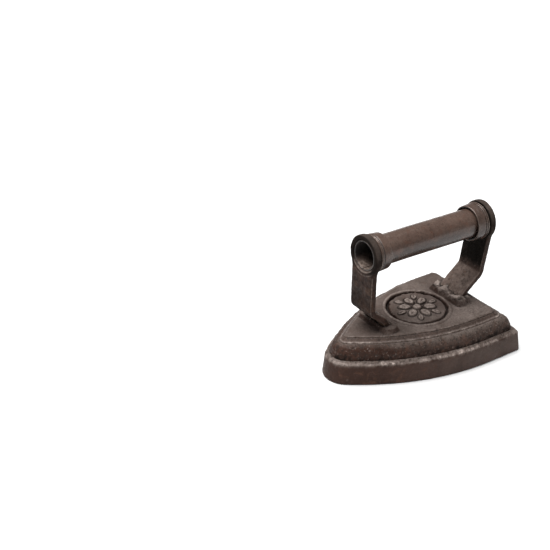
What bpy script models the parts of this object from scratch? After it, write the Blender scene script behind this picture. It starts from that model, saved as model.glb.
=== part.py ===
"""Sad iron: a cast body, two forged strap posts, a rolled tube grip and its two ferrules.

Frame: +Z up, the nose points to -Y and the heel to +Y. The origin is on the sole's plane,
under the middle of the object's box.
"""
import math

import bmesh
import bpy
from mathutils import Vector

MM = 0.001

# Sole outline: a straight flank, one long arc and a round nose on each side.
LENGTH = 157.0 * MM
HALF_WIDTH = 53.9 * MM
FLANK_START_Y = 46.5 * MM
SIDE_RADIUS = 196.0 * MM
HEEL_CORNER_RADIUS = 3.0 * MM
TIER_CORNER_RADIUS = 5.0 * MM

# Casting heights and insets, measured in from the sole outline.
SOLE_EDGE_RADIUS = 1.2 * MM
WALL_HEIGHT = 16.8 * MM
WALL_DRAFT = 1.7 * MM
LEDGE_INSET = 5.6 * MM
LEDGE_HEIGHT = 18.9 * MM
LEDGE_CROWN = 0.4 * MM
OVOLO_WIDTH = 6.6 * MM
OVOLO_HEIGHT = 11.0 * MM
STEP_RISE = 0.7 * MM
BAND_WIDTH = 3.6 * MM
TOP_HEIGHT = 34.7 * MM
TOP_SHOULDER = 1.0 * MM

# Round medallion in the middle of the top.
MEDALLION_Y = 11.1 * MM
DISC_RADIUS = 23.2 * MM
DISC_RISE = 0.9 * MM
GROOVE_WIDTH = 1.8 * MM
GROOVE_DEPTH = 1.6 * MM
BORDER_WIDTH = 3.0 * MM
BORDER_RISE = 0.8 * MM
PETAL_COUNT = 6
PETAL_LENGTH = 11.0 * MM
PETAL_WIDTH = 5.6 * MM
PETAL_RISE = 0.9 * MM
PETAL_DISTANCE = 9.6 * MM
BUTTON_RADIUS = 3.2 * MM

# Cast bosses round the feet of the posts.
BOSS_LENGTH = 38.0 * MM
BOSS_WIDTH = 15.0 * MM
FRONT_BOSS_Y = -29.0 * MM
FRONT_BOSS_RISE = 4.4 * MM
REAR_BOSS_Y = 46.5 * MM
REAR_BOSS_RISE = 5.8 * MM
BOSS_ROUND = 3.6 * MM
BOSS_DEPTH = 6.0 * MM

# Grip tube, on an axis that falls slightly towards the heel.
AXIS_HEIGHT = 99.8 * MM
AXIS_FALL = math.radians(1.66)
TUBE_RADIUS = 12.0 * MM
TUBE_WALL = 1.2 * MM
SEAM_GAP = 0.6 * MM
TUBE_RECESS = 0.9 * MM

# Strap posts: flat bar with a punched round eye at the top and a tang cast into the body.
STRAP_WIDTH = 25.4 * MM
STRAP_THICKNESS = 5.5 * MM
STRAP_CHAMFER = 0.9 * MM
EYE_RADIUS = 16.4 * MM
NECK_LENGTH = 9.0 * MM
BEND_RADIUS = 6.5 * MM
FRONT_EYE_Y = -45.7 * MM
REAR_EYE_Y = 71.7 * MM
FRONT_ROUTE = ((-26.6, 22.0), (-26.6, 34.0), (-33.8, 44.9), (-45.9, 54.3))
REAR_ROUTE = ((46.5, 22.0), (46.5, 36.5), (54.0, 44.4), (66.8, 54.6))

# Ferrules between the eyes and the grip.
FERRULE_LENGTH = 11.5 * MM
FERRULE_RADIUS = 14.5 * MM
FERRULE_SHOULDER_RADIUS = 15.0 * MM
BEAD_RADIUS = 15.5 * MM
BEAD_WIDTH = 2.2 * MM
BEAD_GROOVE = 0.9 * MM
MOUTH_RADIUS = 13.1 * MM
MOUTH_DEPTH = 2.6 * MM

# Gap kept between pieces that touch, and the height up to which a pocket is cut round a post.
GAP = 0.3 * MM
POCKET_TOP = 56.0 * MM

ARC_STEPS_NOSE = 8
ARC_STEPS_SIDE = 18
STEPS_FLANK = 5
ARC_STEPS_CORNER = 5
STEPS_HEEL = 6
ROUND_STEPS = 64


def clear_scene():
    for item in list(bpy.data.objects):
        bpy.data.objects.remove(item, do_unlink=True)


def make_material(name, colour, roughness, metallic):
    material = bpy.data.materials.new(name)
    material.use_nodes = True
    shader = material.node_tree.nodes["Principled BSDF"]
    shader.inputs["Base Color"].default_value = (*colour, 1.0)
    shader.inputs["Roughness"].default_value = roughness
    shader.inputs["Metallic"].default_value = metallic
    return material


def object_from_bmesh(name, bm, material=None, smooth_angle=35.0):
    bmesh.ops.recalc_face_normals(bm, faces=bm.faces)
    mesh = bpy.data.meshes.new(name)
    bm.to_mesh(mesh)
    bm.free()
    mesh.shade_smooth()
    mesh.set_sharp_from_angle(angle=math.radians(smooth_angle))
    item = bpy.data.objects.new(name, mesh)
    bpy.context.scene.collection.objects.link(item)
    if material is not None:
        mesh.materials.append(material)
    return item


def combine(target, tool, operation):
    """Add or cut with a helper object, which is hidden and left out of the model."""
    tool.hide_render = True
    tool.display_type = "WIRE"
    modifier = target.modifiers.new(tool.name, "BOOLEAN")
    modifier.operation = operation
    modifier.object = tool
    modifier.solver = "EXACT"


def arc(centre, radius, start, end, steps):
    """Points on an arc after its first one, up to its last one."""
    points = []
    for step in range(1, steps + 1):
        angle = start + (end - start) * step / steps
        points.append((centre[0] + radius * math.cos(angle), centre[1] + radius * math.sin(angle)))
    return points


def straight(start, end, steps):
    """Evenly spaced points on a line after its start, up to its end."""
    points = []
    for step in range(1, steps + 1):
        share = step / steps
        points.append((start[0] + (end[0] - start[0]) * share, start[1] + (end[1] - start[1]) * share))
    return points


def sole_outline(inset):
    """The sole's plan outline moved inwards by inset, as a closed loop of points from the nose."""
    nose_y = -LENGTH / 2
    heel_y = LENGTH / 2
    reach = SIDE_RADIUS - HALF_WIDTH
    run = FLANK_START_Y - nose_y
    nose_radius = (SIDE_RADIUS ** 2 - reach ** 2 - run ** 2) / (2 * (SIDE_RADIUS - run))
    nose_centre = (0.0, nose_y + nose_radius)
    side_centre = (HALF_WIDTH - SIDE_RADIUS, FLANK_START_Y)
    tangent = math.atan2(nose_centre[1] - side_centre[1], nose_centre[0] - side_centre[0])
    flank_x = HALF_WIDTH - inset
    back_y = heel_y - inset
    corner = TIER_CORNER_RADIUS if inset >= LEDGE_INSET else HEEL_CORNER_RADIUS
    corner_centre = (flank_x - corner, back_y - corner)

    half = [(0.0, nose_y + inset)]
    half += arc(nose_centre, nose_radius - inset, -math.pi / 2, tangent, ARC_STEPS_NOSE)
    half += arc(side_centre, SIDE_RADIUS - inset, tangent, 0.0, ARC_STEPS_SIDE)
    half += straight((flank_x, FLANK_START_Y), (flank_x, corner_centre[1]), STEPS_FLANK)
    half += arc(corner_centre, corner, 0.0, math.pi / 2, ARC_STEPS_CORNER)
    half += straight((corner_centre[0], back_y), (0.0, back_y), STEPS_HEEL)
    mirrored = [(-x, y) for x, y in reversed(half[1:-1])]
    return half + mirrored


def casting_levels():
    """Inset and height of each ring, from the sole's edge up to the flat top."""
    levels = []
    for step in range(4):
        angle = math.radians(30.0 * step)
        levels.append((SOLE_EDGE_RADIUS * (1 - math.sin(angle)), SOLE_EDGE_RADIUS * (1 - math.cos(angle))))
    levels.append((WALL_DRAFT, WALL_HEIGHT))
    ledge_middle = (WALL_DRAFT + LEDGE_INSET) / 2
    levels.append((ledge_middle, (WALL_HEIGHT + LEDGE_HEIGHT) / 2 + LEDGE_CROWN))
    for step in range(9):
        angle = math.radians(10.0 * step)
        inset = LEDGE_INSET + OVOLO_WIDTH * (1 - math.cos(angle))
        levels.append((inset, LEDGE_HEIGHT + OVOLO_HEIGHT * math.sin(angle)))
    band_start = LEDGE_INSET + OVOLO_WIDTH
    crest = LEDGE_HEIGHT + OVOLO_HEIGHT
    levels.append((band_start, crest))
    levels.append((band_start + 0.5 * STEP_RISE, crest + STEP_RISE))
    band_end = band_start + BAND_WIDTH
    levels.append((band_end, TOP_HEIGHT - STEP_RISE - TOP_SHOULDER / 2))
    levels.append((band_end + 0.5 * STEP_RISE, TOP_HEIGHT - TOP_SHOULDER / 2))
    levels.append((band_end + 2 * TOP_SHOULDER, TOP_HEIGHT))
    return levels


def loft_rings(bm, rings):
    """Skin a stack of equal closed rings and cap both ends."""
    count = len(rings[0])
    for lower, upper in zip(rings, rings[1:]):
        for index in range(count):
            following = (index + 1) % count
            bm.faces.new((lower[index], lower[following], upper[following], upper[index]))
    bm.faces.new(list(reversed(rings[0])))
    bm.faces.new(rings[-1])


def casting_block(material):
    bm = bmesh.new()
    rings = []
    for inset, height in casting_levels():
        rings.append([bm.verts.new((x, y, height)) for x, y in sole_outline(inset)])
    loft_rings(bm, rings)
    return object_from_bmesh("body_casting", bm, material)


def turned(name, profile, centre, axis, material=None, steps=ROUND_STEPS):
    """A closed profile of (radius, distance along the axis) turned round the axis."""
    axis = axis.normalized()
    side = Vector((1.0, 0.0, 0.0))
    across = axis.cross(side)
    bm = bmesh.new()
    rings = []
    for step in range(steps):
        angle = 2 * math.pi * step / steps
        outward = side * math.cos(angle) + across * math.sin(angle)
        rings.append([bm.verts.new(centre + outward * radius + axis * along) for radius, along in profile])
    count = len(profile)
    for step in range(steps):
        here = rings[step]
        there = rings[(step + 1) % steps]
        for index in range(count):
            following = (index + 1) % count
            bm.faces.new((here[index], here[following], there[following], there[index]))
    return object_from_bmesh(name, bm, material)


def disc(name, radius, bottom, top, edge, centre):
    """A round plate with a small chamfer on its upper edge."""
    bm = bmesh.new()
    rings = []
    for ring_radius, height in ((radius, bottom), (radius, top - edge), (radius - edge, top)):
        ring = []
        for step in range(ROUND_STEPS):
            angle = 2 * math.pi * step / ROUND_STEPS
            ring.append(bm.verts.new((centre[0] + ring_radius * math.cos(angle),
                                      centre[1] + ring_radius * math.sin(angle), height)))
        rings.append(ring)
    loft_rings(bm, rings)
    return object_from_bmesh(name, bm)


def dome(name, centre, half_sizes, turn=0.0):
    """An oval button, sunk by half into what it stands on."""
    bm = bmesh.new()
    bmesh.ops.create_uvsphere(bm, u_segments=14, v_segments=8, radius=1.0)
    for vert in bm.verts:
        x = vert.co.x * half_sizes[0]
        y = vert.co.y * half_sizes[1]
        vert.co = Vector((centre[0] + x * math.cos(turn) - y * math.sin(turn),
                          centre[1] + x * math.sin(turn) + y * math.cos(turn),
                          centre[2] + vert.co.z * half_sizes[2]))
    return object_from_bmesh(name, bm)


def add_medallion(casting):
    """A disc in a ring groove, with a low border round it and a six-petal rosette on it."""
    centre = (0.0, MEDALLION_Y, 0.0)
    groove_outer = DISC_RADIUS + GROOVE_WIDTH
    border_middle = groove_outer + BORDER_WIDTH / 2
    border_profile = []
    for step in range(7):
        angle = math.pi * step / 6
        border_profile.append((border_middle + BORDER_WIDTH / 2 * math.cos(angle),
                               TOP_HEIGHT + BORDER_RISE * math.sin(angle) - GAP))
    border_profile.append((groove_outer, TOP_HEIGHT - BORDER_WIDTH))
    border_profile.append((groove_outer + BORDER_WIDTH, TOP_HEIGHT - BORDER_WIDTH))
    up = Vector((0.0, 0.0, 1.0))
    border = turned("medallion_border", border_profile, Vector(centre), up)
    combine(casting, border, "UNION")

    above = TOP_HEIGHT + BORDER_WIDTH
    below = TOP_HEIGHT - GROOVE_DEPTH
    groove_profile = [(DISC_RADIUS - 0.5 * MM, above), (DISC_RADIUS - 0.5 * MM, below),
                      (groove_outer - 0.3 * MM, below), (groove_outer + 0.4 * MM, above)]
    groove = turned("medallion_groove", groove_profile, Vector(centre), up)
    combine(casting, groove, "DIFFERENCE")

    plate = disc("medallion_plate", DISC_RADIUS, TOP_HEIGHT - 2 * GROOVE_DEPTH,
                 TOP_HEIGHT + DISC_RISE, 0.5 * MM, centre)
    combine(casting, plate, "UNION")

    face = TOP_HEIGHT + DISC_RISE - 0.15 * MM
    for index in range(PETAL_COUNT):
        turn = 2 * math.pi * index / PETAL_COUNT
        place = (PETAL_DISTANCE * math.cos(turn), MEDALLION_Y + PETAL_DISTANCE * math.sin(turn), face)
        petal = dome("medallion_petal", place, (PETAL_LENGTH / 2, PETAL_WIDTH / 2, PETAL_RISE), turn)
        combine(casting, petal, "UNION")
    button_size = (BUTTON_RADIUS, BUTTON_RADIUS, 1.2 * PETAL_RISE)
    button = dome("medallion_button", (0.0, MEDALLION_Y, face), button_size)
    combine(casting, button, "UNION")


def add_boss(casting, name, middle_y, rise):
    """A rounded ridge across the top, through which a post's tang enters the casting."""
    bm = bmesh.new()
    bmesh.ops.create_cube(bm, size=1.0)
    bottom = TOP_HEIGHT - BOSS_DEPTH
    top = TOP_HEIGHT + rise
    for vert in bm.verts:
        vert.co = Vector((vert.co.x * BOSS_LENGTH, middle_y + vert.co.y * BOSS_WIDTH,
                          top if vert.co.z > 0 else bottom))
    upper = [edge for edge in bm.edges if max(v.co.z for v in edge.verts) > TOP_HEIGHT]
    bmesh.ops.bevel(bm, geom=upper, offset=BOSS_ROUND, segments=4, profile=0.5, affect="EDGES")
    combine(casting, object_from_bmesh(name, bm), "UNION")


def axis_direction():
    return Vector((0.0, math.cos(AXIS_FALL), -math.sin(AXIS_FALL)))


def axis_point(y):
    return Vector((0.0, y, AXIS_HEIGHT - y * math.tan(AXIS_FALL)))


def rounded_route(corners, radius):
    """A polyline in the YZ plane with each inner corner replaced by an arc."""
    points = [corners[0]]
    for before, corner, after in zip(corners, corners[1:], corners[2:]):
        into = (before - corner).normalized()
        out = (after - corner).normalized()
        half_angle = into.angle(out) / 2
        shortest = min((before - corner).length, (after - corner).length)
        setback = min(radius / math.tan(half_angle), 0.45 * shortest)
        bend = setback * math.tan(half_angle)
        centre = corner + (into + out).normalized() * (bend / math.sin(half_angle))
        start = (corner + into * setback - centre).normalized()
        end = (corner + out * setback - centre).normalized()
        for step in range(6):
            points.append(centre + start.slerp(end, step / 5) * bend)
    points.append(corners[-1])
    return points


def strap_sections(route, eye_y):
    """Centre, direction and half width of each section of a post, from the tang to the eye's top."""
    eye = axis_point(eye_y)
    up = Vector((0.0, math.sin(AXIS_FALL), math.cos(AXIS_FALL)))
    neck_drop = math.sqrt(EYE_RADIUS ** 2 - (STRAP_WIDTH / 2) ** 2) + NECK_LENGTH / 2
    neck_start = eye - up * neck_drop
    corners = [Vector((0.0, y * MM, z * MM)) for y, z in route] + [neck_start]
    centres = rounded_route(corners, BEND_RADIUS)
    sections = [(centre, STRAP_WIDTH / 2) for centre in centres]
    neck_angle = math.asin(-(neck_drop - NECK_LENGTH) / EYE_RADIUS)
    neck_half = EYE_RADIUS * math.cos(neck_angle)
    for step in (1, 2, 3):
        share = step / 4
        half = STRAP_WIDTH / 2 + (neck_half - STRAP_WIDTH / 2) * share ** 2
        sections.append((neck_start + up * NECK_LENGTH * share, half))
    last_angle = math.radians(86.0)
    turns = 20
    for step in range(turns + 1):
        angle = neck_angle + (last_angle - neck_angle) * step / turns
        sections.append((eye + up * EYE_RADIUS * math.sin(angle), EYE_RADIUS * math.cos(angle)))
    return sections


def ribbon(name, sections, thickness, chamfer, widen=0.0, material=None):
    """A flat bar that follows the sections, with chamfered edges."""
    bm = bmesh.new()
    rings = []
    last = len(sections) - 1
    side = Vector((1.0, 0.0, 0.0))
    half = thickness / 2
    for index, (centre, half_width) in enumerate(sections):
        ahead = sections[min(index + 1, last)][0] - sections[max(index - 1, 0)][0]
        normal = ahead.normalized().cross(side)
        wide = half_width + widen
        cut = min(chamfer, 0.5 * wide)
        shape = ((wide - cut, -half), (wide, cut - half), (wide, half - cut), (wide - cut, half),
                 (cut - wide, half), (-wide, half - cut), (-wide, cut - half), (cut - wide, -half))
        rings.append([bm.verts.new(centre + side * x + normal * n) for x, n in shape])
    loft_rings(bm, rings)
    return object_from_bmesh(name, bm, material)


def spindle(name, profile, centre, axis):
    """A turned solid whose profile starts and ends on the axis."""
    bm = bmesh.new()
    side = Vector((1.0, 0.0, 0.0))
    across = axis.cross(side)
    rings = []
    for radius, along in profile[1:-1]:
        ring = []
        for step in range(ROUND_STEPS):
            angle = 2 * math.pi * step / ROUND_STEPS
            outward = side * math.cos(angle) + across * math.sin(angle)
            ring.append(bm.verts.new(centre + outward * radius + axis * along))
        rings.append(ring)
    loft_rings(bm, rings)
    return object_from_bmesh(name, bm)


def make_post(name, route, eye_y, material):
    sections = strap_sections(route, eye_y)
    post = ribbon(name, sections, STRAP_THICKNESS, STRAP_CHAMFER, material=material)
    bore = TUBE_RADIUS + GAP
    reach = STRAP_THICKNESS
    lead = 0.8 * MM
    half = STRAP_THICKNESS / 2
    hole_profile = [(0.0, -reach), (bore + lead, -reach), (bore + lead, -half), (bore, lead - half),
                    (bore, half - lead), (bore + lead, half), (bore + lead, reach), (0.0, reach)]
    hole = spindle(name + "_hole", hole_profile, axis_point(eye_y), axis_direction())
    combine(post, hole, "DIFFERENCE")
    return post


def cut_pocket(casting, name, route, eye_y):
    """The hollow that a post's tang fills, with the usual gap on every side."""
    sections = strap_sections(route, eye_y)
    lower = [section for section in sections if section[0].z < POCKET_TOP]
    lower[0] = (lower[0][0] - Vector((0.0, 0.0, GAP)), lower[0][1])
    pocket = ribbon(name, lower, STRAP_THICKNESS + 2 * GAP, STRAP_CHAMFER, widen=GAP)
    combine(casting, pocket, "DIFFERENCE")


def make_tube(material):
    """A rolled sheet tube with an open butt seam along its underside."""
    start = FRONT_EYE_Y - STRAP_THICKNESS / 2 + TUBE_RECESS
    end = REAR_EYE_Y + STRAP_THICKNESS / 2 - TUBE_RECESS
    side = Vector((1.0, 0.0, 0.0))
    upward = side.cross(axis_direction())
    half_slit = SEAM_GAP / 2 / TUBE_RADIUS
    section = []
    for radius, first, last in ((TUBE_RADIUS, half_slit, 2 * math.pi - half_slit),
                                (TUBE_RADIUS - TUBE_WALL, 2 * math.pi - half_slit, half_slit)):
        for step in range(ROUND_STEPS + 1):
            angle = first + (last - first) * step / ROUND_STEPS
            section.append(side * radius * math.sin(angle) - upward * radius * math.cos(angle))
    bm = bmesh.new()
    rings = []
    for y in (start, end):
        rings.append([bm.verts.new(axis_point(y) + offset) for offset in section])
    count = len(section)
    for index in range(count):
        following = (index + 1) % count
        bm.faces.new((rings[0][index], rings[0][following], rings[1][following], rings[1][index]))
    for ring in rings:
        for step in range(ROUND_STEPS):
            outer = (ring[step], ring[step + 1])
            inner = (ring[count - 1 - step], ring[count - 2 - step])
            bm.faces.new((outer[0], outer[1], inner[1], inner[0]))
    return object_from_bmesh("grip_tube", bm, material)


def make_ferrule(name, eye_y, direction, material):
    """A turned sleeve: a bead against the eye, a plain barrel and a mouth open to the grip."""
    start = STRAP_THICKNESS / 2 + GAP
    end = start + FERRULE_LENGTH
    bore = TUBE_RADIUS + GAP
    profile = [(bore, start), (FERRULE_RADIUS - 0.4 * MM, start)]
    bead_start = start + BEAD_GROOVE
    groove_radius = FERRULE_RADIUS - 0.4 * MM
    for step in range(7):
        angle = math.pi * step / 6
        profile.append((groove_radius + (BEAD_RADIUS - groove_radius) * math.sin(angle),
                        bead_start + BEAD_WIDTH * (1 - math.cos(angle)) / 2))
    barrel_start = bead_start + BEAD_WIDTH + BEAD_GROOVE
    profile.append((groove_radius, barrel_start - 0.3 * MM))
    profile.append((FERRULE_SHOULDER_RADIUS, barrel_start + 0.4 * MM))
    profile.append((FERRULE_RADIUS, end - 0.8 * MM))
    profile.append((FERRULE_RADIUS - 0.4 * MM, end))
    profile.append((MOUTH_RADIUS, end))
    profile.append((MOUTH_RADIUS, end - MOUTH_DEPTH))
    profile.append((bore, end - MOUTH_DEPTH - 0.4 * MM))
    return turned(name, profile, axis_point(eye_y), axis_direction() * direction, material)


def build():
    clear_scene()
    cast_iron = make_material("cast_iron", (0.105, 0.085, 0.072), 0.62, 0.55)
    forged_iron = make_material("forged_iron", (0.075, 0.062, 0.054), 0.6, 0.6)
    sheet_iron = make_material("sheet_iron", (0.13, 0.09, 0.072), 0.5, 0.6)

    casting = casting_block(cast_iron)
    add_medallion(casting)
    add_boss(casting, "front_boss", FRONT_BOSS_Y, FRONT_BOSS_RISE)
    add_boss(casting, "rear_boss", REAR_BOSS_Y, REAR_BOSS_RISE)
    cut_pocket(casting, "front_pocket", FRONT_ROUTE, FRONT_EYE_Y)
    cut_pocket(casting, "rear_pocket", REAR_ROUTE, REAR_EYE_Y)

    make_post("front_post", FRONT_ROUTE, FRONT_EYE_Y, forged_iron)
    make_post("rear_post", REAR_ROUTE, REAR_EYE_Y, forged_iron)
    make_tube(sheet_iron)
    make_ferrule("front_ferrule", FRONT_EYE_Y, 1.0, sheet_iron)
    make_ferrule("rear_ferrule", REAR_EYE_Y, -1.0, sheet_iron)


build()
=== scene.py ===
"""The sad iron's looks: fine cast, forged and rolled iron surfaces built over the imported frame.

The frame is that of the CAD part: +Z up, the nose at -Y and the heel at +Y. Shapes are worked out
in millimetres, and mesh_object and write_points turn them into metres.
"""

import math
from types import SimpleNamespace

import bpy
import numpy as np
from mathutils import Matrix, Vector
from mathutils.kdtree import KDTree


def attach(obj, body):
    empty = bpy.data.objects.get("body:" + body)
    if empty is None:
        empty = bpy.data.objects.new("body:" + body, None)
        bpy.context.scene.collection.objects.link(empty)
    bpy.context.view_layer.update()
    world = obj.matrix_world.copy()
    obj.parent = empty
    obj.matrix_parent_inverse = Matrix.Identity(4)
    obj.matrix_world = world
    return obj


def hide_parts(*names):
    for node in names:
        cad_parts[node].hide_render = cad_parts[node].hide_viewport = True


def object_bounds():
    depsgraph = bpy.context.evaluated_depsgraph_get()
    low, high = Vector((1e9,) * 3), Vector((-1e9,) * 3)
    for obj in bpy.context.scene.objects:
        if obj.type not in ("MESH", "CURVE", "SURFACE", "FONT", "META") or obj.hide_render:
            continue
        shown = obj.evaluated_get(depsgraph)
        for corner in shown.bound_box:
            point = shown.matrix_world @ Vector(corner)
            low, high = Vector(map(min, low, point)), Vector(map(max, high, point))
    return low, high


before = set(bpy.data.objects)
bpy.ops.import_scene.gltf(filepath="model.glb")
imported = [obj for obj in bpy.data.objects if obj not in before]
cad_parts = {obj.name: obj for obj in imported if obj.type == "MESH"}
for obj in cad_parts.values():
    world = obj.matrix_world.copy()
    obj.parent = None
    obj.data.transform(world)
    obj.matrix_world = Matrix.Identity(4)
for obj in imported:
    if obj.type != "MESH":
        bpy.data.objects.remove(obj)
CAD_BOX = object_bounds()
MM = 0.001

# Camera, in metres
CAMERA_PLACE = (0.629863, -0.578015, 0.557634)
CAMERA_RIGHT = (0.573455, 0.819126, 0.013489)
CAMERA_UP = (-0.416772, 0.277519, 0.865612)
CAMERA_BACK = (0.705302, -0.502012, 0.500534)
CAMERA_LENS = 81.47

# Studio, in metres: the light's spread is in degrees
FLOOR_REACH, FLOOR_LEVEL = 30.0, -0.05 * MM
FLOOR_COLOUR, FLOOR_ROUGHNESS = (0.88, 0.88, 0.88, 1.0), 0.9
LIGHT_FROM, LIGHT_SPREAD, LIGHT_STRENGTH = (-0.22, -0.20, 1.20), 54.0, 4.7
SKY_COLOUR, SKY_STRENGTH = (1.0, 1.0, 1.0, 1.0), 0.15

# Body casting, in millimetres
LENGTH, HALF_WIDTH = 157.0, 53.9
FLANK_START_Y, SIDE_RADIUS = 46.5, 196.0
HEEL_CORNER, TIER_CORNER = 3.0, 5.0
SOLE_EDGE_RADIUS = 1.2
LEDGE_INSET, LEDGE_HEIGHT = 5.6, 18.9
OVOLO_DEPTH, OVOLO_RISE = 6.6, 11.0
TOP_INSET, TOP_HEIGHT = 17.8, 34.7
MEDALLION_Y, DISC_RADIUS, GROOVE_OUTER, BORDER_OUTER = 11.1, 23.2, 25.0, 28.2
BORDER_RADIUS, BORDER_HALF_WIDTH, BORDER_RISE = 26.6, 1.75, 1.1
GROOVE_DEPTH, DISC_RISE = 2.3, 0.9
FRONT_BOSS = dict(y=-29.0, half_length=19.0, half_width=7.5, rise=4.4)
REAR_BOSS = dict(y=46.5, half_length=19.0, half_width=7.5, rise=5.8)
BOSS_CORNER = 3.5

# Grip, in millimetres: the bore's and the strap's limits are distances from the grip's axis
AXIS_HEIGHT, AXIS_FALL = 99.8, math.radians(1.66)
TUBE_RADIUS, TUBE_WALL, TUBE_SETBACK, SEAM_GAP = 12.0, 1.2, 0.9, 0.6
FRONT_EYE_Y, REAR_EYE_Y, STRAP_THICKNESS = -45.7, 71.7, 5.5
BORE_REACH, STRAP_START, FERRULE_GAP = 12.9, 17.5, 0.3


# ---------------------------------------------------------------- helpers

def ease(t):
    t = np.clip(t, 0.0, 1.0)
    return t * t * (3.0 - 2.0 * t)


def bump(x, centre, width):
    """A smooth hump of height 1 at centre that reaches 0 one width away."""
    return ease(1.0 - np.abs(x - centre) / width)


def span(x, start, end, fade_in, fade_out):
    """1 between start and end, fading to 0 at both over the given lengths."""
    return ease((x - start) / fade_in) * ease((end - x) / fade_out)


def strongest(*masks):
    """The largest of several masks at each point."""
    return np.maximum.reduce(masks)


def scramble(ix, iy, iz, seed):
    """A repeatable number from 0 to 1 for each lattice cell."""
    h = (ix * 374761393 + iy * 668265263 + iz * 1103515245 + seed * 974634777) & 0xFFFFFFFF
    h = ((h ^ (h >> 13)) * 1274126177) & 0xFFFFFFFF
    h = ((h ^ (h >> 16)) * 2246822519) & 0xFFFFFFFF
    return (h ^ (h >> 15)) / 4294967295.0


def noise(points, size, seed):
    """Smooth noise from -1 to 1 with features of the given size in millimetres."""
    at = points / size
    cell = np.floor(at).astype(np.int64)
    share = at - cell
    share = share ** 3 * (share * (share * 6 - 15) + 10)
    total = np.zeros(len(points))
    for dx in (0, 1):
        wx = share[:, 0] if dx else 1 - share[:, 0]
        for dy in (0, 1):
            wy = share[:, 1] if dy else 1 - share[:, 1]
            for dz in (0, 1):
                wz = share[:, 2] if dz else 1 - share[:, 2]
                total += wx * wy * wz * scramble(cell[:, 0] + dx, cell[:, 1] + dy, cell[:, 2] + dz, seed)
    return 2.0 * total - 1.0


def rough(points, size, seed, octaves=3):
    """Several sizes of noise on top of each other, roughly from -1 to 1."""
    total, weight, height = np.zeros(len(points)), 0.0, 1.0
    for octave in range(octaves):
        total += height * noise(points, size / 2 ** octave, seed + 17 * octave)
        weight += height
        height *= 0.55
    return total / weight * 1.5


def pits(points, spacing, radius, share, seed):
    """Round craters: 1 at the middle of a pit, 0 outside. share is the part of cells that hold one."""
    cell = np.floor(points / spacing).astype(np.int64)
    depth = np.zeros(len(points))
    for dx in (-1, 0, 1):
        for dy in (-1, 0, 1):
            for dz in (-1, 0, 1):
                near = cell + (dx, dy, dz)
                ix, iy, iz = near[:, 0], near[:, 1], near[:, 2]
                centre = np.stack([scramble(ix, iy, iz, seed + k) for k in (1, 2, 3)], axis=1)
                gap = np.linalg.norm((near + centre) * spacing - points, axis=1)
                size = radius * (0.45 + 0.75 * scramble(ix, iy, iz, seed + 4))
                there = scramble(ix, iy, iz, seed + 5) < share
                depth = np.maximum(depth, np.where(there, ease(1.0 - gap / size), 0.0))
    return depth


def mesh_object(name, verts, faces, uses):
    """A smooth-shaded object from points in millimetres."""
    mesh = bpy.data.meshes.new(name)
    mesh.from_pydata((np.asarray(verts) * MM).tolist(), [], faces)
    mesh.validate()
    mesh.shade_smooth()
    item = bpy.data.objects.new(name, mesh)
    bpy.context.scene.collection.objects.link(item)
    mesh.materials.append(uses)
    return item


def read_points(mesh):
    co = np.zeros(len(mesh.vertices) * 3, np.float32)
    mesh.vertices.foreach_get("co", co)
    return co.reshape(-1, 3).astype(float) / MM


def read_normals(mesh):
    normals = np.zeros(len(mesh.vertices) * 3, np.float32)
    mesh.vertex_normals.foreach_get("vector", normals)
    return normals.reshape(-1, 3).astype(float)


def write_points(mesh, points):
    mesh.vertices.foreach_set("co", (points * MM).astype(np.float32).ravel())
    mesh.update()


def store(mesh, name, values):
    """Keeps a number from 0 to 1 for each point, which the materials read."""
    layer = mesh.attributes.new(name, "FLOAT", "POINT")
    layer.data.foreach_set("value", np.clip(values, 0.0, 1.0).astype(np.float32))


def dust_and_shade(normals, lowest, highest):
    """Faces that look up, where old dust and handling marks lie; the materials paint these faces lighter
    and the others darker as painted shade.
    """
    return ease((normals[:, 2] - lowest) / (highest - lowest))


def ring_faces(count, rings, closed=False):
    """Quads between consecutive rings of count points each."""
    index = np.arange(count)
    following = (index + 1) % count
    faces = []
    for ring in range(rings if closed else rings - 1):
        low, high = ring * count, ((ring + 1) % rings) * count
        faces += np.stack([low + index, low + following, high + following, high + index], axis=1).tolist()
    return faces


def inside_box(points):
    """Keeps a worn surface from standing proud of the CAD model's box."""
    low, high = np.array(CAD_BOX[0]) / MM, np.array(CAD_BOX[1]) / MM
    return np.clip(points, low, high)


# ---------------------------------------------------------------- materials

# The black of grime, also used for painted shade
GRIME_AND_SHADE_COLOUR = (0.006, 0.005, 0.004)


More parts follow.
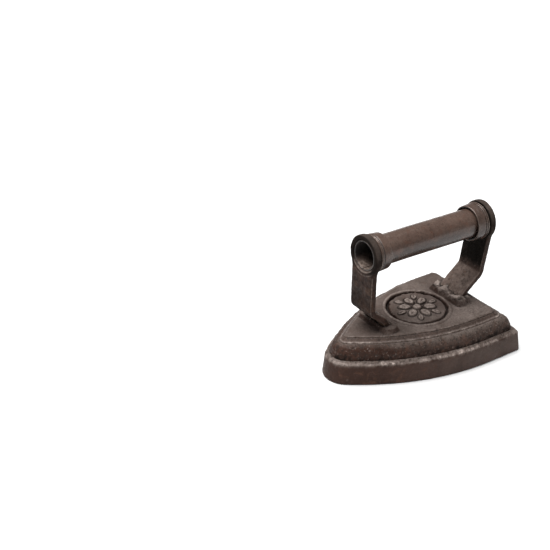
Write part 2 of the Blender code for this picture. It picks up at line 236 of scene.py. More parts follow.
def iron(name, dark, base, pale, rust, deep, metal, specular, gloss, grain, grain_depth):
    """Old iron: mottled browns, rust, pale worn edges, grime in the hollows, and painted light and shade,
    with a fine rough grain.

    It reads what the pieces store: wear is rubbed pale, and painted light in places; dirt is black grime,
    and painted shade in places; rust is the share of rusty spots, grit is the share of small specks and
    stains, and faces with little dust are multiplied by deep, a painted shade for the faces that don't
    look up. dark and base are the two browns of the metal, and gloss is the range of roughness. The
    grain's size and depth are in millimetres.
    """
    material = bpy.data.materials.new(name)
    material.use_nodes = True
    tree = material.node_tree
    nodes, link = tree.nodes, tree.links.new
    shader = nodes["Principled BSDF"]
    place = nodes.new("ShaderNodeTexCoord").outputs["Object"]

    def cloud(size, detail=4.0, roughness=0.6, warp=0.0):
        node = nodes.new("ShaderNodeTexNoise")
        node.inputs["Scale"].default_value = 1000.0 / size
        node.inputs["Detail"].default_value = detail
        node.inputs["Roughness"].default_value = roughness
        node.inputs["Distortion"].default_value = warp
        link(place, node.inputs["Vector"])
        return node.outputs["Fac"]

    def stretch(value, low, high, out_low=0.0, out_high=1.0):
        node = nodes.new("ShaderNodeMapRange")
        node.inputs["From Min"].default_value = low
        node.inputs["From Max"].default_value = high
        node.inputs["To Min"].default_value = out_low
        node.inputs["To Max"].default_value = out_high
        link(value, node.inputs["Value"])
        return node.outputs["Result"]

    def combine(a, b, operation="MULTIPLY"):
        node = nodes.new("ShaderNodeMath")
        node.operation = operation
        node.use_clamp = True
        link(a, node.inputs[0])
        if isinstance(b, float):
            node.inputs[1].default_value = b
        else:
            link(b, node.inputs[1])
        return node.outputs["Value"]

    def blend(share, first, second, kind="MIX"):
        node = nodes.new("ShaderNodeMix")
        node.data_type = "RGBA"
        node.blend_type = kind
        if isinstance(share, float):
            node.inputs["Factor"].default_value = share
        else:
            link(share, node.inputs["Factor"])
        for socket, value in ((node.inputs[6], first), (node.inputs[7], second)):
            if isinstance(value, tuple):
                socket.default_value = (*value, 1.0)
            else:
                link(value, socket)
        return node.outputs[2]

    def kept(attribute):
        node = nodes.new("ShaderNodeAttribute")
        node.attribute_name = attribute
        return node.outputs["Fac"]

    # Mottled browns, darker on the faces that don't look up: dust, and painted shade through deep
    patches = stretch(cloud(26.0, 5.0, 0.62, 0.6), 0.36, 0.64)
    mottle = stretch(cloud(4.5, 5.0, 0.65, 0.4), 0.36, 0.66)
    specks = stretch(cloud(1.7, 3.0, 0.7), 0.58, 0.70)
    stains = stretch(cloud(2.4, 4.0, 0.7, 0.3), 0.50, 0.62)
    warm = stretch(cloud(9.0, 6.0, 0.66, 0.8), 0.52, 0.70)
    colour = blend(patches, dark, base)
    colour = blend(combine(mottle, 0.55), colour, base)
    # Painted shade: a darker copy of the colour, for the faces that don't look up
    shaded_copy = blend(1.0, colour, deep, "MULTIPLY")
    colour = blend(kept("dust_and_shade"), shaded_copy, colour)

    # Rust, stains, specks, worn edges and grime on top, with painted light among the wear and painted
    # shade among the grime
    colour = blend(combine(warm, kept("rust")), colour, rust)
    colour = blend(combine(stains, kept("grit")), colour, tuple(0.4 * part for part in dark))
    fleck = tuple(0.5 * (light + mid) for light, mid in zip(pale, base))
    colour = blend(combine(combine(specks, 0.7), kept("grit")), colour, fleck)
    # Pale from rubbing, and painted light where the pieces store it
    rubbed_or_lit = combine(kept("wear_and_light"), stretch(cloud(1.6, 4.0, 0.7), 0.3, 0.62))
    colour = blend(rubbed_or_lit, colour, pale)
    bare_or_lit = combine(stretch(kept("wear_and_light"), 0.82, 1.0), stretch(cloud(2.6, 3.0, 0.6), 0.42, 0.60))
    colour = blend(combine(bare_or_lit, 0.8), colour, tuple(1.9 * part for part in pale))
    # Black grime, and painted shade where the pieces store it
    colour = blend(combine(kept("dirt_and_shade"), 0.93), colour, GRIME_AND_SHADE_COLOUR)
    link(colour, shader.inputs["Base Color"])

    shine = stretch(cloud(3.0, 5.0, 0.7), 0.3, 0.7, gloss[0], gloss[1])
    polished = combine(rubbed_or_lit, 0.22)
    dirt_and_shade_matte = combine(kept("dirt_and_shade"), 0.35)
    link(combine(combine(shine, polished, "SUBTRACT"), dirt_and_shade_matte, "ADD"), shader.inputs["Roughness"])
    shader.inputs["Metallic"].default_value = metal
    shader.inputs["Specular IOR Level"].default_value = specular

    height = nodes.new("ShaderNodeMath")
    height.operation = "MULTIPLY_ADD"
    link(cloud(grain, 4.0, 0.7), height.inputs[0])
    height.inputs[1].default_value = 0.6
    link(cloud(grain * 3.2, 4.0, 0.6), height.inputs[2])
    relief = nodes.new("ShaderNodeBump")
    relief.inputs["Strength"].default_value = 1.0
    relief.inputs["Distance"].default_value = grain_depth * MM
    link(height.outputs["Value"], relief.inputs["Height"])
    link(relief.outputs["Normal"], shader.inputs["Normal"])
    return material


cast_iron = iron(
    "aged_cast_iron", dark=(0.080, 0.060, 0.050), base=(0.155, 0.123, 0.108), pale=(0.33, 0.27, 0.24),
    rust=(0.095, 0.046, 0.030), deep=(0.34, 0.215, 0.175), metal=0.12, specular=0.12,
    gloss=(0.40, 0.62), grain=1.3, grain_depth=0.60)
ground_iron = iron(
    "ground_sole_iron", dark=(0.12, 0.11, 0.10), base=(0.20, 0.19, 0.18), pale=(0.36, 0.34, 0.32),
    rust=(0.10, 0.055, 0.03), deep=(0.8, 0.8, 0.8), metal=0.8, specular=0.35,
    gloss=(0.30, 0.50), grain=0.7, grain_depth=0.05)
forged_iron = iron(
    "forged_black_iron", dark=(0.030, 0.021, 0.017), base=(0.190, 0.140, 0.118), pale=(0.29, 0.235, 0.205),
    rust=(0.085, 0.044, 0.026), deep=(0.27, 0.20, 0.175), metal=0.06, specular=0.08,
    gloss=(0.42, 0.64), grain=1.2, grain_depth=0.60)
rolled_iron = iron(
    "rolled_brown_iron", dark=(0.082, 0.050, 0.038), base=(0.140, 0.090, 0.070), pale=(0.25, 0.195, 0.165),
    rust=(0.110, 0.052, 0.034), deep=(0.20, 0.150, 0.135), metal=0.22, specular=0.65,
    gloss=(0.24, 0.36), grain=1.0, grain_depth=0.12)


# ---------------------------------------------------------------- body casting

OUTLINE_STEPS = dict(nose=34, side=150, flank=44, corner=14, heel=28)
SOLE_SHARES = (0.02, 0.2, 0.4, 0.6, 0.8, 0.93, 0.98)
CIRCLE_RADIUS = BORDER_OUTER + 0.4
DEEP = 40.0  # the inset noted for the flat top


def run(first, second, steps):
    """Points in a straight line, without the first."""
    share = np.arange(1, steps + 1)[:, None] / steps
    return np.array(first) + (np.array(second) - np.array(first)) * share


def swing(centre, radius, start, end, steps):
    """Points on an arc, without the first."""
    angle = start + (end - start) * np.arange(1, steps + 1) / steps
    return np.stack([centre[0] + radius * np.cos(angle), centre[1] + radius * np.sin(angle)], axis=1)


def outline(inset):
    """The sole's plan outline moved inwards, as a loop of points that starts at the nose."""
    nose_y, heel_y = -LENGTH / 2, LENGTH / 2
    reach, distance = SIDE_RADIUS - HALF_WIDTH, FLANK_START_Y - nose_y
    nose_radius = (SIDE_RADIUS ** 2 - reach ** 2 - distance ** 2) / (2 * (SIDE_RADIUS - distance))
    nose_centre = (0.0, nose_y + nose_radius)
    side_centre = (-reach, FLANK_START_Y)
    tangent = math.atan2(nose_centre[1] - side_centre[1], nose_centre[0] - side_centre[0])
    flank_x, back_y = HALF_WIDTH - inset, heel_y - inset
    corner = HEEL_CORNER + (TIER_CORNER - HEEL_CORNER) * min(inset / LEDGE_INSET, 1.0)
    corner_at = (flank_x - corner, back_y - corner)
    steps = OUTLINE_STEPS
    half = np.concatenate([
        np.array([[0.0, nose_y + inset]]),
        swing(nose_centre, nose_radius - inset, -math.pi / 2, tangent, steps["nose"]),
        swing(side_centre, SIDE_RADIUS - inset, tangent, 0.0, steps["side"]),
        run((flank_x, FLANK_START_Y), (flank_x, corner_at[1]), steps["flank"]),
        swing(corner_at, corner, 0.0, math.pi / 2, steps["corner"]),
        run((corner_at[0], back_y), (0.0, back_y), steps["heel"])])
    return np.concatenate([half, half[1:-1][::-1] * (-1.0, 1.0)])


def body_profile():
    """Inset and height of each ring, from the sole's worn lower edge up to the edge of the flat top."""
    edge = SOLE_EDGE_RADIUS
    rows = [(edge * (1 - math.sin(a)), edge * (1 - math.cos(a))) for a in np.linspace(0, math.pi / 2, 6)]
    rows += run((0.0, edge), (1.45, 16.1), 9).tolist()
    rows += [(1.55, 16.5), (1.8, 16.95), (2.2, 17.3)]
    for inset, height in run((2.2, 17.3), (5.0, 19.05), 7):
        rows.append((inset, height + 0.25 * math.sin(math.pi * (inset - 2.2) / 2.8)))
    rows += [(5.25, 18.9), (5.45, 18.8), (5.65, 18.8), (5.72, 19.15)]
    for angle in np.radians(np.linspace(6.0, 84.0, 18)):
        rows.append((LEDGE_INSET + OVOLO_DEPTH * (1 - math.cos(angle)),
                     LEDGE_HEIGHT + OVOLO_RISE * math.sin(angle)))
    rows += [(11.9, 29.95), (12.2, 29.8), (12.45, 29.85), (12.6, 30.35), (12.8, 30.85), (13.15, 31.15)]
    rows += run((13.15, 31.15), (15.65, 33.3), 5).tolist()
    rows += [(15.85, 33.3), (16.0, 33.35), (16.1, 33.8), (16.3, 34.25), (16.8, 34.5)]
    rows.append((TOP_INSET, TOP_HEIGHT))
    return rows


def boss_share(points, boss):
    """1 on top of a cast boss and 0 off it, with a fillet round its foot."""
    wide = np.abs(points[:, 0]) - boss["half_length"] + BOSS_CORNER
    deep = np.abs(points[:, 1] - boss["y"]) - boss["half_width"] + BOSS_CORNER
    corner = np.hypot(np.maximum(wide, 0), np.maximum(deep, 0))
    outside = corner + np.minimum(np.maximum(wide, deep), 0) - BOSS_CORNER
    crown = 1.0 - 0.10 * np.clip((points[:, 1] - boss["y"]) / boss["half_width"], -1, 1) ** 2
    return crown * ease((0.5 - outside) / 2.8) ** 0.85


def medallion_radius(points):
    return np.hypot(points[:, 0], points[:, 1] - MEDALLION_Y)


def rosette(points):
    """A generic flower of six petals and six leaves: its relief and the grimy line round each of them."""
    radius = medallion_radius(points)
    angle = np.arctan2(points[:, 1] - MEDALLION_Y, points[:, 0])
    relief = 1.4 * ease((3.9 - radius) / 1.3)
    foot = bump(radius, 4.1, 0.7)
    sector = math.pi / 3
    for share, middle, length, width, rise in ((0.0, 10.2, 5.2, 3.4, 1.5), (0.5, 15.8, 3.8, 2.3, 1.3)):
        turned = (angle - share * sector + sector / 2) % sector - sector / 2
        along, across = radius * np.cos(turned) - middle, radius * np.sin(turned)
        oval = np.hypot(along / length, across / width)
        vein = 1.0 - 0.55 * bump(across, 0.0, 0.9) * bump(along, 0.8, length)
        relief = np.maximum(relief, rise * ease((1.05 - oval) * 3.6) * vein)
        foot = np.maximum(foot, bump(oval, 1.08, 0.26))
    return relief, foot


def frayed(points, seed):
    """The distance from the medallion's middle, as an uneven old casting shows it."""
    flat = points * (1, 1, 0)
    return medallion_radius(points) + 0.75 * rough(flat, 4.0, seed) + 0.25 * noise(flat, 1.6, seed + 5)


def groove_share(points):
    """1 in the ring groove round the medallion, 0 outside it."""
    outer, inner = frayed(points, 7), frayed(points, 9)
    return ease((GROOVE_OUTER + 0.3 - outer) / 0.7) * ease((inner - DISC_RADIUS + 0.6) / 0.6)


def top_height(points):
    """Height of the flat top with its border, ring groove, medallion and bosses."""
    radius = medallion_radius(points)
    across = (radius - BORDER_RADIUS) / BORDER_HALF_WIDTH
    border = BORDER_RISE * np.sqrt(np.clip(1 - across ** 2, 0, 1))
    bosses = [boss["rise"] * boss_share(points, boss) for boss in (FRONT_BOSS, REAR_BOSS)]
    height = TOP_HEIGHT + strongest(border, *bosses) - GROOVE_DEPTH * groove_share(points)
    on_disc = ease((DISC_RADIUS - 0.3 - frayed(points, 9)) / 0.7)
    worn = 0.85 + 0.35 * rough(points * (1, 1, 0), 6.0, 5)
    disc = TOP_HEIGHT + DISC_RISE - 0.25 * (radius / DISC_RADIUS) ** 2 + rosette(points)[0] * worn
    return height * (1 - on_disc) + disc * on_disc


def body_rings():
    """Rings of points from the sole's middle, up the stepped edge and in to the medallion's middle.

    Also gives the inset of each ring, which counts as 0 on the sole and as DEEP on the flat top.
    """
    profile = body_profile()
    sole = outline(profile[0][0])
    count = len(sole)
    rings = [np.column_stack([sole * share, np.zeros(count)]) for share in SOLE_SHARES]
    rings += [np.column_stack([outline(inset), np.full(count, height)]) for inset, height in profile]

    edge = outline(TOP_INSET)
    middle = np.array([0.0, MEDALLION_Y])
    spoke = edge - middle
    circle = middle + spoke / np.linalg.norm(spoke, axis=1)[:, None] * CIRCLE_RADIUS
    flats = [edge + (circle - edge) * share for share in np.linspace(0, 1, 53)[1:]]
    border = np.linspace(BORDER_OUTER, GROOVE_OUTER, 9)
    groove = np.linspace(24.8, 22.2, 10)
    disc = np.linspace(21.7, 2.2, 34)
    for radius in (*border, *groove, *disc, 1.4, 0.6):
        flats.append(middle + (circle - middle) * radius / CIRCLE_RADIUS)
    for flat in flats:
        points = np.column_stack([flat, np.zeros(count)])
        points[:, 2] = top_height(points)
        rings.append(points)
    insets = [0.0] * len(SOLE_SHARES) + [row[0] for row in profile] + [DEEP] * len(flats)
    return rings, insets


def body_regions(points, inset):
    """Masks from 0 to 1 for the parts of the casting."""
    sole = points[:, 2] < 0.02
    top = ease((inset - 16.5) / 0.8)
    front, rear = boss_share(points, FRONT_BOSS) * top, boss_share(points, REAR_BOSS) * top
    radius = medallion_radius(points)
    # A hollow beside the rear strap's foot: the surface is pushed in there, and it is filled with painted
    # shadow
    shaded_hollow = bump(np.hypot((points[:, 0] - 15.5) / 1.5, points[:, 1] - 49.0), 0.0, 3.4)
    return SimpleNamespace(
        sole=sole, wall=ease((1.5 - inset) / 0.3) * ~sole,
        lip=span(inset, 1.3, 5.6, 0.4, 0.5),
        ovolo=span(inset, 5.2, 12.2, 0.5, 0.6),
        band=span(inset, 12.0, 17.0, 0.4, 0.6),
        lower_step=bump(inset, 12.95, 1.0), upper_step=bump(inset, 16.4, 0.6),
        top=top, groove=groove_share(points) * top,
        border=bump(radius, BORDER_RADIUS + 0.1, 1.5) * top,
        disc=ease((DISC_RADIUS - radius) / 0.8) * top,
        boss=np.maximum(front, rear), rear=rear, shaded_hollow=shaded_hollow * top,
        heel=ease((points[:, 1] + 60.0) / 110.0), nose=ease((-15.0 - points[:, 1]) / 40.0))


def body_unevenness(points):
    """Noise and pits of several sizes, which both the shape and the marks of the casting follow."""
    return SimpleNamespace(
        wave=rough(points, 24.0, 11), lumps=rough(points, 7.0, 23), knobs=rough(points, 5.0, 29, 2),
        coarse=rough(points, 3.0, 37), fine=rough(points, 1.5, 41, 2),
        small_pits=pits(points, 2.6, 1.0, 0.30, 51), big_pits=pits(points, 7.0, 2.2, 0.28, 61),
        chips=pits(points, 3.2, 0.8, 0.30, 81),
        dashes=ease(rough(points * (1, 1, 0.3), 5.0, 71, 2) * 3.0 - 0.1))


def cast_surface(points, normals, part, skin):
    """The points moved in and out to the uneven surface of an old sand casting."""
    push = part.wall * (0.10 * skin.wave + 0.03 * skin.lumps - 0.10 * skin.big_pits)
    push += part.lip * (0.20 * skin.lumps + 0.34 * skin.coarse + 0.20 * skin.fine)
    push += part.ovolo * (0.16 * skin.wave + 0.28 * skin.lumps + 0.32 * skin.coarse
                          + 0.18 * skin.fine - 0.60 * skin.small_pits)
    push += part.band * (0.12 * skin.wave + 0.18 * skin.coarse + 0.12 * skin.fine)
    push += part.top * (0.16 * skin.wave + 0.14 * skin.lumps + 0.14 * skin.coarse
                        + 0.10 * skin.fine - 0.35 * skin.small_pits)
    push += part.boss * (0.30 * skin.lumps + 0.15 * skin.coarse)
    push += part.rear * (1.30 * skin.knobs + 0.60 * skin.coarse - 1.2 * skin.big_pits)
    push += part.groove * (0.35 * skin.coarse + 0.2 * skin.fine) - 2.2 * part.shaded_hollow
    push = np.where(part.sole, 0.0, push) - 0.12 * part.wall
    edge_fade = ease(points[:, 2] / SOLE_EDGE_RADIUS)
    return points + normals * (push * edge_fade)[:, None]


def body_wear_and_light(points, inset, part, skin):
    """Where the casting is rubbed pale: its edges, its relief and small chips; the step edges also carry a
    painted highlight, and the top's right side towards the heel is painted light.
    """
    outer_lip = part.lip * ease((3.6 + 1.2 * skin.lumps - inset) / 0.9)
    lip_marks = (0.68 + 0.22 * part.heel) * ease(0.60 + 0.9 * skin.coarse)
    # Painted light: the top's right side towards the heel is made lighter
    lit_from_right = ease((points[:, 0] - 4.0) / 28.0) * part.heel
    return strongest(
        outer_lip * (lip_marks + 0.3 * ease(2.0 * skin.lumps - 0.4)),
        skin.chips * (0.9 * part.ovolo + 0.8 * part.band + 0.6 * part.top + 0.35 * part.wall),
        # Worn step edges, with a painted highlight along them
        part.lower_step * (0.60 + 0.40 * skin.dashes) + 0.8 * part.upper_step * (0.5 + 0.5 * skin.dashes),
        0.8 * part.border * ease(0.75 + 0.8 * skin.lumps),
        0.88 * ease((rosette(points)[0] - 0.8) / 0.4) * part.disc,
        part.rear * ease(0.5 + 1.5 * skin.knobs) * 0.9,
        0.7 * bump(part.boss, 0.86, 0.16) * (1 - part.rear) * ease(0.6 + skin.lumps),
        part.top * (0.22 * ease(0.3 + skin.wave) + 0.30 * lit_from_right),
        bump(inset, 12.0, 1.0) * 0.3)


def body_dirt_and_shade(points, normals, inset, part, skin):
    """Where black grime fills the casting's hollows, and painted shade: on the front boss's sides, round
    the foot of the bosses and in the hollow beside the rear strap's foot.
    """
    return strongest(
        part.groove * 0.9,
        0.9 * bump(inset, LEDGE_INSET, 0.9) * ease(0.35 + 1.1 * skin.coarse),
        0.7 * bump(inset, 12.3, 0.35) + 0.6 * bump(inset, 15.9, 0.30),
        0.65 * skin.small_pits * (part.ovolo + 0.6 * part.top) + 0.7 * ease(-1.3 * skin.knobs) * part.rear,
        # Painted shade on the front boss's faces that don't look up
        0.5 * part.boss * (1 - part.rear) * ease(0.85 - normals[:, 2]),
        # Painted shade round the foot of the bosses
        part.top * 0.6 * bump(part.boss, 0.12, 0.14),
        0.9 * rosette(points)[1] * part.disc,
        # Painted shadow filling the hollow beside the rear strap's foot
        part.shaded_hollow)


def body_dust_and_shade(normals, part, skin):
    """How light the casting's faces are, from dust and painted shade: faces that look up are lighter, the
    nose is darker as painted shade, the bosses are darker, the heel lighter, and the lower step lighter as
    a painted highlight.
    """
    settled = dust_and_shade(normals, 0.15, 1.0) * (0.88 + 0.2 * skin.wave) - 0.05 * part.disc
    settled += 0.40 * part.heel * part.wall + (0.15 * part.heel - 0.60 * part.nose) * part.ovolo
    settled += 0.50 * part.lower_step * (0.5 + 0.5 * skin.dashes) - 0.25 * part.band
    return settled - 0.15 * part.nose * part.top - 0.30 * part.boss * (1 - part.rear)


def make_body():
    rings, insets = body_rings()
    count, last = len(rings[0]), (len(rings) - 1) * len(rings[0])
    verts = np.concatenate(rings)
    low, high = len(verts), len(verts) + 1
    verts = np.concatenate([verts, [[0, 0, 0]], [[0, MEDALLION_Y, verts[last, 2]]]])
    inset = np.append(np.repeat(insets, count), [0.0, DEEP])
    faces = ring_faces(count, len(rings))
    faces += [[low, (i + 1) % count, i] for i in range(count)]
    faces += [[last + i, last + (i + 1) % count, high] for i in range(count)]
    body = mesh_object("body_cast", verts, faces, cast_iron)
    body.data.materials.append(ground_iron)

    points, normals = read_points(body.data), read_normals(body.data)
    part, skin = body_regions(points, inset), body_unevenness(points)
    write_points(body.data, inside_box(cast_surface(points, normals, part, skin)))

    rust = 0.25 + 0.7 * part.wall * ease((20.0 - points[:, 1]) / 60.0) + 0.3 * part.ovolo + 0.1 * part.disc
    grit = (0.12 * part.wall + 0.8 * part.lip + 0.75 * part.ovolo + 0.6 * part.band * (1 - part.lower_step)
            + 0.22 * part.top + 0.3 * part.rear)
    store(body.data, "grit", grit)
    store(body.data, "wear_and_light", body_wear_and_light(points, inset, part, skin))
    # Dust and painted shade: faces that look up lighter, sides and nose darker
    store(body.data, "dust_and_shade", body_dust_and_shade(normals, part, skin))
    store(body.data, "dirt_and_shade", body_dirt_and_shade(points, normals, inset, part, skin))
    store(body.data, "rust", rust)

    facing = np.zeros(len(body.data.polygons) * 3, np.float32)
    body.data.polygons.foreach_get("normal", facing)
    under = facing.reshape(-1, 3)[:, 2] < -0.9
    body.data.polygons.foreach_set("material_index", under.astype(np.int32))
    return body


body = make_body()
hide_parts("body_casting")
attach(body, "root")


# ---------------------------------------------------------------- posts

ALONG = np.array([0.0, math.cos(AXIS_FALL), -math.sin(AXIS_FALL)])
UPWARD = np.array([0.0, math.sin(AXIS_FALL), math.cos(AXIS_FALL)])
ACROSS = np.array([1.0, 0.0, 0.0])


def axis_point(y):
    """The point of the grip's axis at y."""
    return np.array([0.0, y, AXIS_HEIGHT - y * math.tan(AXIS_FALL)])


def round_axis(points, y):
    """Distance along the grip's axis from its point at y, height over the axis, and distance from it."""
    offset = points - axis_point(y)
    up = offset @ UPWARD
    return offset @ ALONG, up, np.hypot(points[:, 0], up)


def remeshed(node, name, voxel, smoothing, uses):
    """A fine even mesh in the shape of a CAD node, with its hard edges worn round."""
    draft = bpy.data.objects.new(name + "_draft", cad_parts[node].data.copy())
    bpy.context.scene.collection.objects.link(draft)
    grid = draft.modifiers.new("grid", "REMESH")
    grid.mode = "VOXEL"
    grid.voxel_size = voxel * MM
    soften = draft.modifiers.new("soften", "SMOOTH")
    soften.factor = 0.5
    soften.iterations = smoothing
    shaped = draft.evaluated_get(bpy.context.evaluated_depsgraph_get())
    mesh = bpy.data.meshes.new_from_object(shaped)
    mesh.name = name
    bpy.data.objects.remove(draft, do_unlink=True)
    item = bpy.data.objects.new(name, mesh)
    bpy.context.scene.collection.objects.link(item)
    mesh.materials.clear()
    mesh.materials.append(uses)
    mesh.shade_smooth()
    return item


def make_post(name, node, eye_y, seed):
    post = remeshed(node, name, 0.5, 4, forged_iron)
    points, normals = read_points(post.data), read_normals(post.data)
    up, radius = round_axis(points, eye_y)[1:]
    facing = normals[:, 1] * math.copysign(1.0, eye_y)
    in_bore = ease((BORE_REACH - radius) / 0.4)
    strap = ease((radius - STRAP_START) / 3.0)
    broad = strap * ease((11.0 - np.abs(points[:, 0])) / 2.0)
    outward = ease(facing * 2.0)

    lumps = rough(points, 8.0, seed)
    coarse = rough(points, 3.0, seed + 3)
    fine = rough(points, 1.4, seed + 6, 2)
    holes = pits(points, 4.0, 1.3, 0.22, seed + 9)
    push = 0.06 * lumps + 0.10 * coarse + 0.06 * fine - 0.25 * holes - 0.04
    push += broad * (0.26 * lumps + 0.14 * coarse)
    write_points(post.data, inside_box(points + normals * (push * (1 - in_bore))[:, None]))

    strap_edge = strap * bump(np.abs(normals[:, 0]), 0.70, 0.32)
    rim = (1 - strap) * bump(radius, 16.1, 0.7)
    # The bore's lower lip: worn, and painted light
    lip = bump(radius, 13.2, 0.9) * ease((-up - 6.0) / 4.0)
    wear_and_light = strongest(
        0.55 * strap_edge * ease(0.8 + lumps),
        0.45 * rim * ease(0.7 + lumps),
        (0.08 + 0.40 * dust_and_shade(normals, 0.2, 0.6)) * ease(coarse) * strap,
        0.8 * lip)
    # Painted shadow on the posts' inner faces under the grip
    shadow_under_grip = ease(-2.0 * facing - 1.0) * ease((points[:, 2] - 58.0) / 6.0)
    # Darkens the eye round the bore, except its lowest part
    eye_face = ease((STRAP_START + 1.0 - radius) / 3.0) * ease((up + 15.0) / 6.0)
    dirt_and_shade = strongest(
        0.5 * holes,
        # Painted shade inside the eye's bore
        0.9 * in_bore,
        shadow_under_grip * ease(1.1 - 0.4 * coarse),
        0.9 * eye_face * ease(1.1 - 0.4 * lumps),
        # Painted shade: the straps' outward faces darken towards the bottom
        0.42 * outward * strap * ease((74.0 - points[:, 2]) / 16.0))
    # The bore's upward floor and lower lip are painted light and kept free of the painted shade
    lit_bore_floor = np.maximum(in_bore * dust_and_shade(normals, 0.3, 0.9), lip)
    store(post.data, "wear_and_light", wear_and_light)
    # Dust and painted shade by facing, with painted light on the bore's lower lip
    store(post.data, "dust_and_shade", dust_and_shade(normals, 0.0, 0.6) + 0.24 * broad * ease(lumps) + 0.5 * lip)
    store(post.data, "dirt_and_shade", dirt_and_shade * (1 - lit_bore_floor))
    store(post.data, "rust", 0.35 + 0.5 * strap * ease(0.4 + lumps) - 0.3 * strap_edge)
    store(post.data, "grit", 0.10 + 0.40 * broad * (1 - outward))
    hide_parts(node)
    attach(post, "root")
    return post


def shade_round_posts(posts, foot_height=46.0, lowest=34.5, half_width=17.0, reach=1.8):
    """Painted shadow on the casting where the posts enter it."""
    places = [vert.co for post in posts for vert in post.data.vertices if vert.co.z < foot_height * MM]
    tree = KDTree(len(places))
    for index, place in enumerate(places):
        tree.insert(place, index)
    tree.balance()
    layer = body.data.attributes["dirt_and_shade"].data
    for vert, cell in zip(body.data.vertices, layer):
        if vert.co.z > lowest * MM and abs(vert.co.x) < half_width * MM:
            cell.value = max(cell.value, 1.0 - tree.find(vert.co)[2] / (reach * MM))


shade_round_posts([make_post("front_post_forged", "front_post", FRONT_EYE_Y, 101),
             make_post("rear_post_forged", "rear_post", REAR_EYE_Y, 131)])


# ---------------------------------------------------------------- grip tube

TURNS_ROUND_TUBE, RINGS_ALONG_TUBE = 150, 130
END_CUTS = ((0.0, 0.35), (0.12, 0.12), (0.35, 0.0))


def tube_mesh(start, end):
    """Rings round the wall of an open tube, outside and then inside, from one edge of the seam."""
    turns = TURNS_ROUND_TUBE
    half_slit = SEAM_GAP / 2 / TUBE_RADIUS
    angle = np.linspace(half_slit, 2 * math.pi - half_slit, turns)
    around = ACROSS * np.sin(angle)[:, None] - UPWARD * np.cos(angle)[:, None]
    stations = [(start + step, cut) for step, cut in END_CUTS]
    stations += [(y, 0.0) for y in np.linspace(start + 1.0, end - 1.0, RINGS_ALONG_TUBE)]
    stations += [(end - step, cut) for step, cut in reversed(END_CUTS)]
    rings = []
    for y, cut in stations:
        outer = axis_point(y) + around * (TUBE_RADIUS - cut)
        inner = axis_point(y) + around[::-1] * (TUBE_RADIUS - TUBE_WALL + cut)
        rings.append(np.concatenate([outer, inner]))
    count, last = 2 * turns, (len(rings) - 1) * 2 * turns
    faces = [face[::-1] for face in ring_faces(count, len(rings))]
    for i in range(turns - 1):
        j, k = count - 1 - i, count - 2 - i
        faces.append([i, i + 1, k, j])
        faces.append([last + i, last + j, last + k, last + i + 1])
    return mesh_object("grip_rolled", np.concatenate(rings), faces, rolled_iron)


def make_tube():
    """A rolled tube with a butt seam along its underside and worn open ends; its ends are painted light
    below and shade above, its bore is painted shade but for a painted pool of light near the front mouth,
    and its underside is painted shade.
    """
    start = FRONT_EYE_Y - STRAP_THICKNESS / 2 + TUBE_SETBACK
    end = REAR_EYE_Y + STRAP_THICKNESS / 2 - TUBE_SETBACK
    tube = tube_mesh(start, end)
    points, normals = read_points(tube.data), read_normals(tube.data)
    up, radius = round_axis(points, 0.0)[1:]
    y = points[:, 1]
    outside = ease((radius - 11.4) / 0.3)
    bore = 1 - outside
    grip = span(y, FRONT_EYE_Y + 8.0, REAR_EYE_Y - 8.0, 6.0, 6.0)

    streaks = rough(points * (1, 0.25, 1), 4.0, 151)
    dents = rough(points, 22.0, 157)
    grain = rough(points, 2.2, 163)
    holes = pits(points, 5.5, 1.2, 0.16, 167)
    push = grip * outside * (0.14 * dents - 0.14) + 0.025 * streaks + 0.02 * grain - 0.10 * holes * outside
    push += bore * 0.12 * grain
    write_points(tube.data, points + normals * push[:, None])

    ends = ease(1.0 - np.minimum(y - start, end - y) / 0.6)
    # Painted light on the lower part of both ends
    low_end = ends * ease(-up / 6.0)
    # A painted pool of light on the bore's floor by the front mouth
    mouth = bore * ease((FRONT_EYE_Y + 20.0 - y) / 18.0) * dust_and_shade(normals, 0.25, 0.85)
    # Painted shade along the tube's underside
    under = outside * ease((-normals[:, 2] - 0.72) / 0.22)
    wear_and_light = strongest(
        0.6 * low_end,
        0.30 * outside * ease(streaks * 1.2 - 0.1),
        0.25 * bore * ease(grain),
        0.6 * outside * bump(y, FRONT_EYE_Y + 20.0, 16.0) * ease(grain),
        mouth)
    # Grime in the pits, and painted shade in the bore, under the tube and on the upper part of the ends
    dirt_and_shade = strongest(0.5 * holes * outside, 0.9 * bore * (1 - mouth), 0.7 * under, 0.8 * (ends - low_end))
    store(tube.data, "wear_and_light", wear_and_light)
    # Dust and painted shade by facing, and the mouth's painted light
    store(tube.data, "dust_and_shade", np.maximum(dust_and_shade(normals, -0.15, 0.75) * outside, mouth))
    store(tube.data, "dirt_and_shade", dirt_and_shade)
    store(tube.data, "rust", 0.30 + 0.5 * ease(dents + 0.2) + 0.3 * bore)
    store(tube.data, "grit", 0.25 + 0.2 * ease(dents))
    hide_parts("grip_tube")
    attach(tube, "root")


make_tube()


# ---------------------------------------------------------------- ferrules

TURNS_ROUND_FERRULE = 180


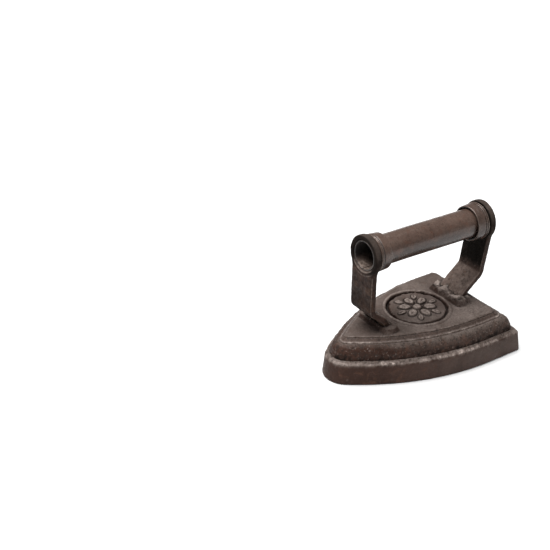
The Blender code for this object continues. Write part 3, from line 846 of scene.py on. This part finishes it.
def ferrule_profile():
    """Radius and distance from the eye of each ring: two beads, a plain barrel and an open mouth.

    It is driven on tight, so it touches the tube and the eye.
    """
    rows = [(TUBE_RADIUS, -0.25), (13.4, -0.25), (14.0, 0.12), (14.3, 0.45)]
    for s in np.linspace(0, 1, 9)[1:]:
        rows.append((14.3 + 1.2 * math.sin(math.pi * s), 0.45 + 1.55 * s))
    for s in np.linspace(0, 1, 9)[1:]:
        rows.append((14.3 + 0.95 * math.sin(math.pi * s) - 0.2 * s, 2.0 + 1.5 * s))
    rows += [(14.1, 3.8), (14.7, 4.1), (14.95, 4.4)]
    rows += [(14.95 - 0.4 * s, 4.4 + 6.2 * s) for s in np.linspace(0, 1, 14)[1:]]
    rows += [(14.5, 11.0), (14.3, 11.3), (13.9, 11.45), (13.45, 11.4), (13.15, 11.1)]
    rows += [(13.1, 10.2), (13.1, 9.3), (12.9, 8.9)] + [(TUBE_RADIUS, step) for step in (8.8, 6.0, 3.0)]
    return rows


def make_ferrule(name, node, eye_y, direction, seed, painted_shade):
    """A beaded sleeve on the side of an eye that direction points to, darkened all over as painted shade
    by the last argument.
    """
    turns = TURNS_ROUND_FERRULE
    angle = 2 * math.pi * np.arange(turns) / turns
    outward = ACROSS * np.cos(angle)[:, None] + UPWARD * np.sin(angle)[:, None] * -direction
    begin = STRAP_THICKNESS / 2 + FERRULE_GAP
    rings = [axis_point(eye_y) + ALONG * direction * (begin + step) + outward * radius
             for radius, step in ferrule_profile()]
    faces = ring_faces(turns, len(rings), closed=True)
    ferrule = mesh_object(name, np.concatenate(rings), faces, rolled_iron)
    points, normals = read_points(ferrule.data), read_normals(ferrule.data)
    along, _, radius = round_axis(points, eye_y)
    step = along * direction - begin
    outside = ease((radius - 13.4) / 0.4)

    lumps = rough(points, 6.0, seed)
    coarse = rough(points, 2.4, seed + 5)
    holes = pits(points, 3.6, 1.1, 0.2, seed + 7)
    push = outside * (0.09 * lumps + 0.07 * coarse - 0.16 * holes - 0.03)
    write_points(ferrule.data, inside_box(points + normals * push[:, None]))

    beads = bump(step, 1.2, 0.6) + bump(step, 2.75, 0.6)
    lip = bump(step, 11.2, 0.5) * ease((radius - 13.3) / 0.3)
    wear_and_light = np.maximum((0.75 * beads + 0.6 * lip) * ease(0.9 + lumps), 0.25 * ease(coarse)) * outside
    gaps = bump(step, 3.8, 0.6) + 0.8 * bump(step, 2.0, 0.35) + 0.8 * bump(step, 0.2, 0.4)
    store(ferrule.data, "wear_and_light", wear_and_light)
    # Dust and painted shade by facing
    store(ferrule.data, "dust_and_shade", dust_and_shade(normals, -0.25, 0.65))
    # Grime in pits and gaps; the last argument darkens the whole sleeve as painted shade
    store(ferrule.data, "dirt_and_shade", strongest(0.6 * holes + painted_shade * ease(0.7 + lumps), 1 - outside, gaps))
    store(ferrule.data, "rust", 0.35 + 0.4 * ease(lumps))
    store(ferrule.data, "grit", 0.25 + 0.3 * ease(lumps))
    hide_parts(node)
    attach(ferrule, "root")


make_ferrule("front_ferrule_beaded", "front_ferrule", FRONT_EYE_Y, 1.0, 181, 0.0)
make_ferrule("rear_ferrule_beaded", "rear_ferrule", REAR_EYE_Y, -1.0, 199, 0.25)


# ---------------------------------------------------------------- floor, light and camera

def make_floor():
    mesh = bpy.data.meshes.new("studio_floor")
    corners = [(-1, -1), (1, -1), (1, 1), (-1, 1)]
    mesh.from_pydata([(x * FLOOR_REACH, y * FLOOR_REACH, FLOOR_LEVEL) for x, y in corners],
                     [], [(0, 1, 2, 3)])
    floor = bpy.data.objects.new("studio_floor", mesh)
    bpy.context.scene.collection.objects.link(floor)
    paint = bpy.data.materials.new("pale_floor")
    paint.use_nodes = True
    shader = paint.node_tree.nodes["Principled BSDF"]
    shader.inputs["Base Color"].default_value = FLOOR_COLOUR
    shader.inputs["Roughness"].default_value = FLOOR_ROUGHNESS
    mesh.materials.append(paint)


def make_light():
    """A broad overhead light that reaches the whole floor evenly."""
    lamp = bpy.data.lights.new("overhead_softbox", "SUN")
    lamp.angle = math.radians(LIGHT_SPREAD)
    lamp.energy = LIGHT_STRENGTH
    light = bpy.data.objects.new("overhead_softbox", lamp)
    light.location = LIGHT_FROM
    light.rotation_euler = (-Vector(LIGHT_FROM)).to_track_quat("-Z", "Y").to_euler()
    bpy.context.scene.collection.objects.link(light)


def make_world():
    world = bpy.data.worlds.new("studio")
    world.use_nodes = True
    sky = world.node_tree.nodes["Background"]
    sky.inputs["Color"].default_value = SKY_COLOUR
    sky.inputs["Strength"].default_value = SKY_STRENGTH
    bpy.context.scene.world = world


def make_camera():
    data = bpy.data.cameras.new("camera")
    data.lens = CAMERA_LENS
    data.sensor_width = 36.0
    data.clip_start, data.clip_end = 0.01, 50.0
    camera = bpy.data.objects.new("camera", data)
    turn = Matrix((CAMERA_RIGHT, CAMERA_UP, CAMERA_BACK)).transposed().to_4x4()
    camera.matrix_world = Matrix.Translation(CAMERA_PLACE) @ turn
    bpy.context.scene.collection.objects.link(camera)
    bpy.context.scene.camera = camera


make_floor()
make_light()
make_world()
make_camera()
bpy.context.scene.view_settings.view_transform = "Standard"
